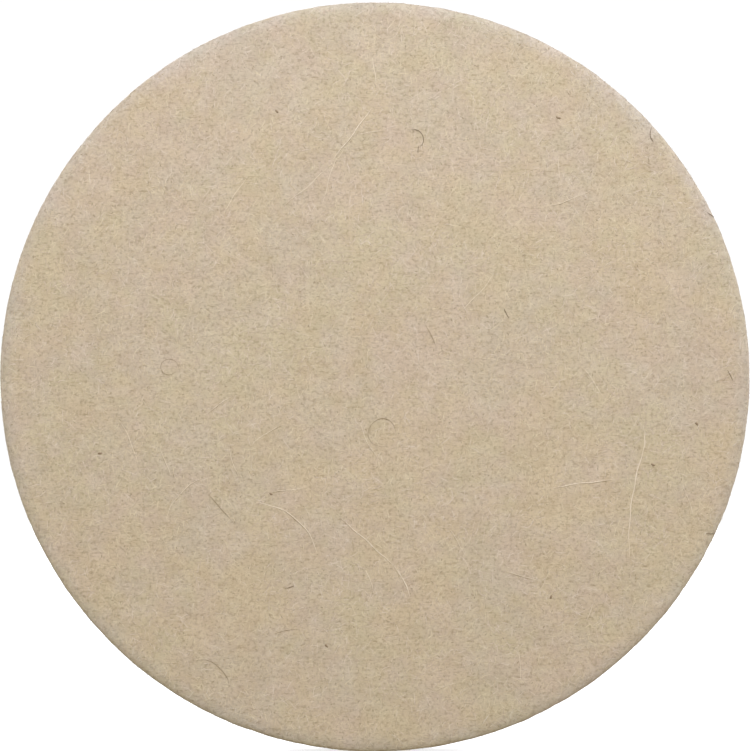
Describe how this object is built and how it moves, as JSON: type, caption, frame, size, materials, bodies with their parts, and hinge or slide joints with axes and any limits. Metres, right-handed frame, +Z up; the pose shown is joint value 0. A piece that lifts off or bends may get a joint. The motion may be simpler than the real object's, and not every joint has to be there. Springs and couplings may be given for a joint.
{
  "type": "felt polishing disc",
  "caption": "Round pressed wool felt polishing disc with a self-adhesive back and a slit release liner that peels off from the middle.",
  "frame": {"origin": "centre of the adhesive film's bonding face, on the spin axis", "axes": "+Y is the spin axis and points out of the back, away from the work; the polishing face looks along -Y; +Z is up and +X is to the right as the polishing face is looked at"},
  "size_m": [0.1524, 0.0091, 0.1524],
  "materials": {
    "felt": "matte",
    "adhesive": "gloss",
    "liner": "satin"
  },
  "bodies": {
    "disc": {"felt_disc": "felt", "adhesive_film": "adhesive"},
    "left_liner": {"release_liner_left": "liner"},
    "right_liner": {"release_liner_right": "liner"}
  },
  "joints": [
    {"name": "peel_left", "type": "hinge", "parent": "disc", "child": "left_liner", "pos_m": [-0.076, 0.0003, 0], "axis": [0, 0, 1], "range_deg": [0, 110]},
    {"name": "peel_right", "type": "hinge", "parent": "disc", "child": "right_liner", "pos_m": [0.076, 0.0003, 0], "axis": [0, 0, -1], "range_deg": [0, 110]}
  ]
}
